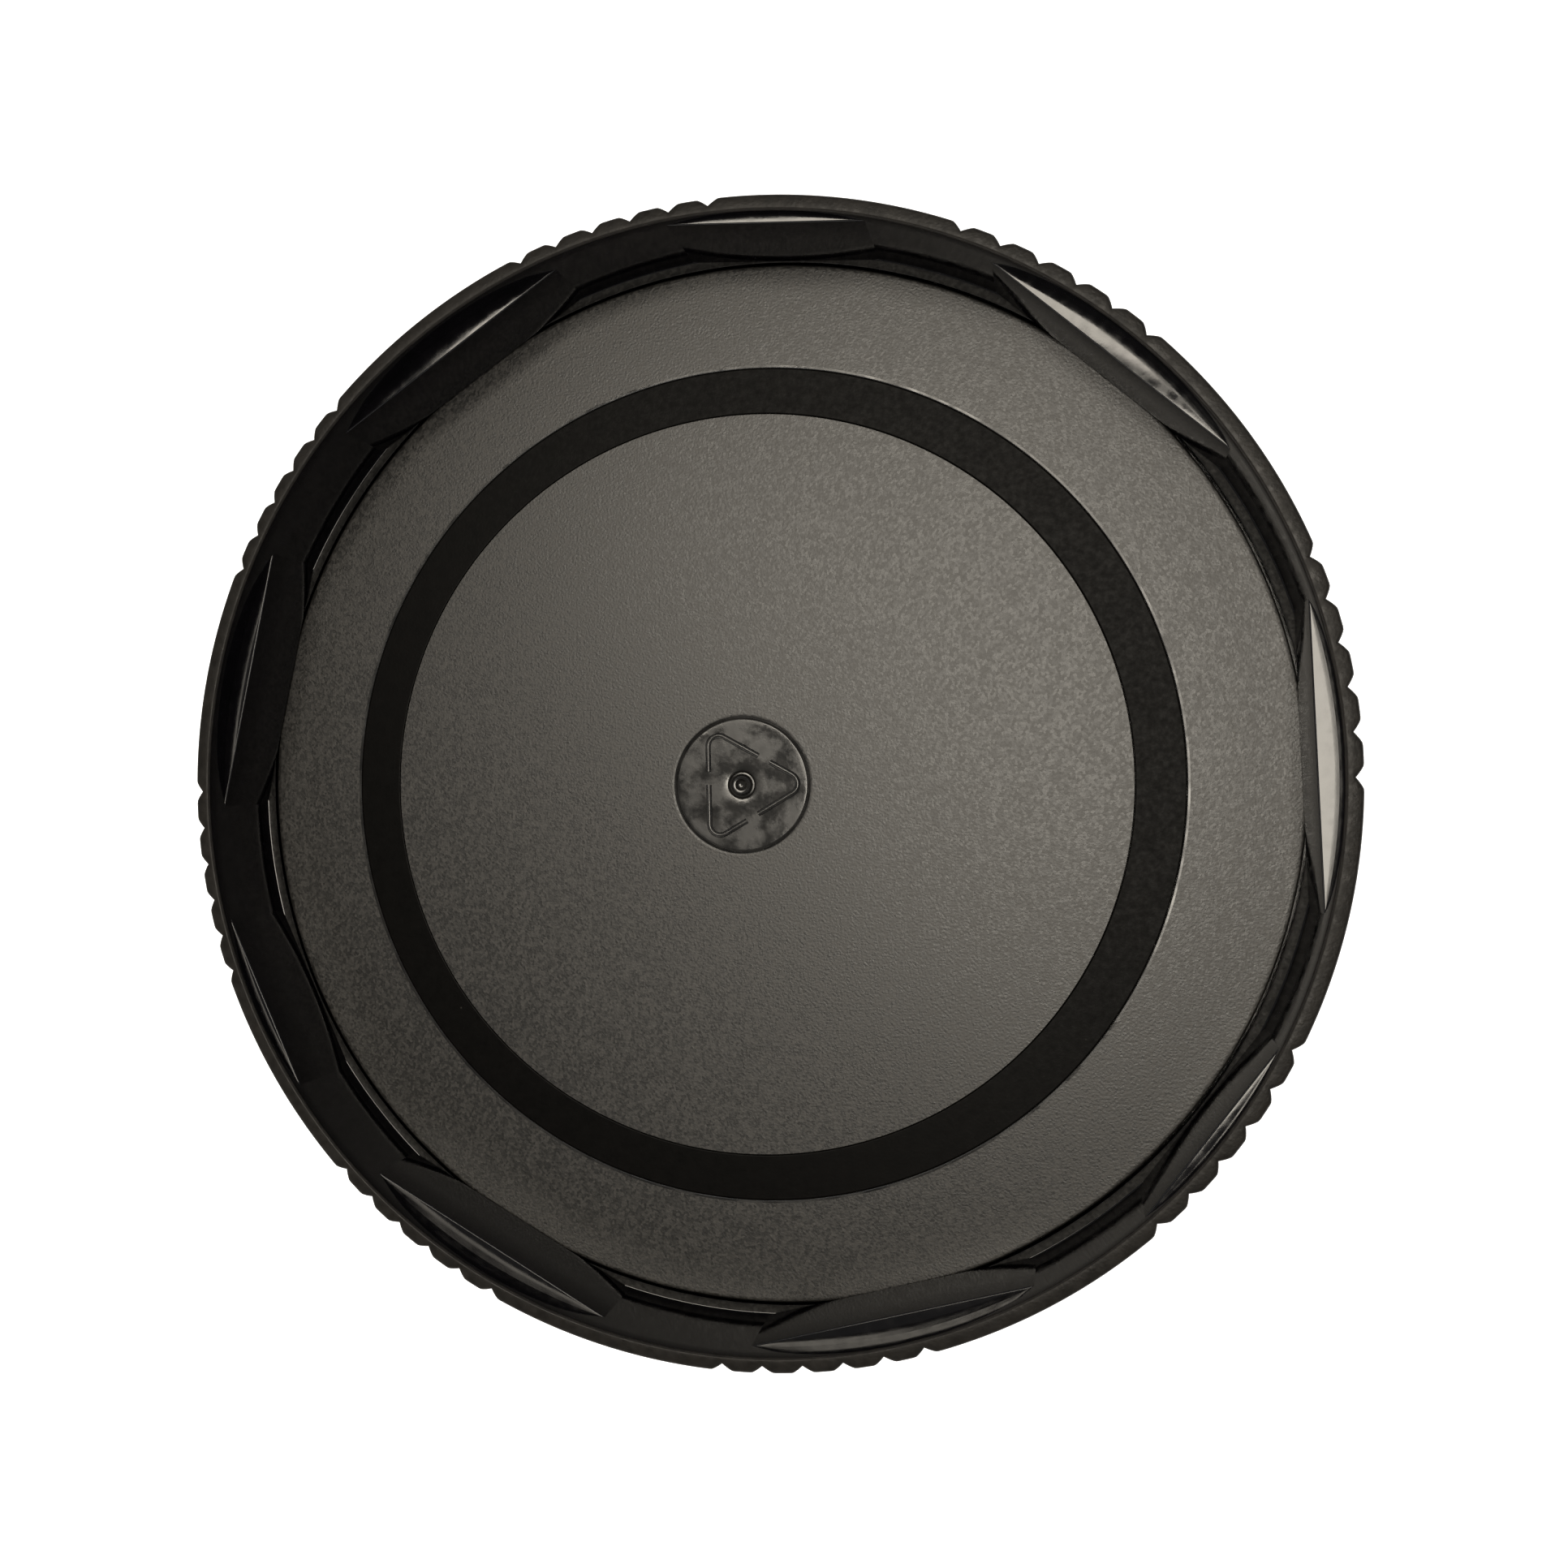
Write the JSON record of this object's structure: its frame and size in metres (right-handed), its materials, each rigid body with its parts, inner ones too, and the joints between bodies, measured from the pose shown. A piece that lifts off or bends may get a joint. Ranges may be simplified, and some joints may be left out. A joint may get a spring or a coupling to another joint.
{
  "type": "screw lid of a rock tumbler barrel",
  "caption": "Shallow black screw lid with grip grooves, inner thread lugs, a turning pressure disc and a flush sealing ring.",
  "frame": {"origin": "centre of the lid's outer face, which the lid lies on", "axes": "+Z along the lid's axis, out of its open side; +X and +Y across the lid, with the first high lug near +Y"},
  "size_m": [0.12, 0.12, 0.0189],
  "materials": {
    "shell_plastic": "glossy moulded",
    "disc_plastic": "fine spark-eroded texture",
    "seal_rubber": "smooth, satin"
  },
  "bodies": {
    "shell": {"lid_shell": "shell_plastic"},
    "disc": {"pressure_disc": "disc_plastic", "seal_ring": "seal_rubber"}
  },
  "joints": [
    {"name": "disc_spin", "type": "hinge", "parent": "shell", "child": "disc", "pos_m": [0, 0, 0.0023], "axis": [0, 0, 1], "continuous": true}
  ]
}
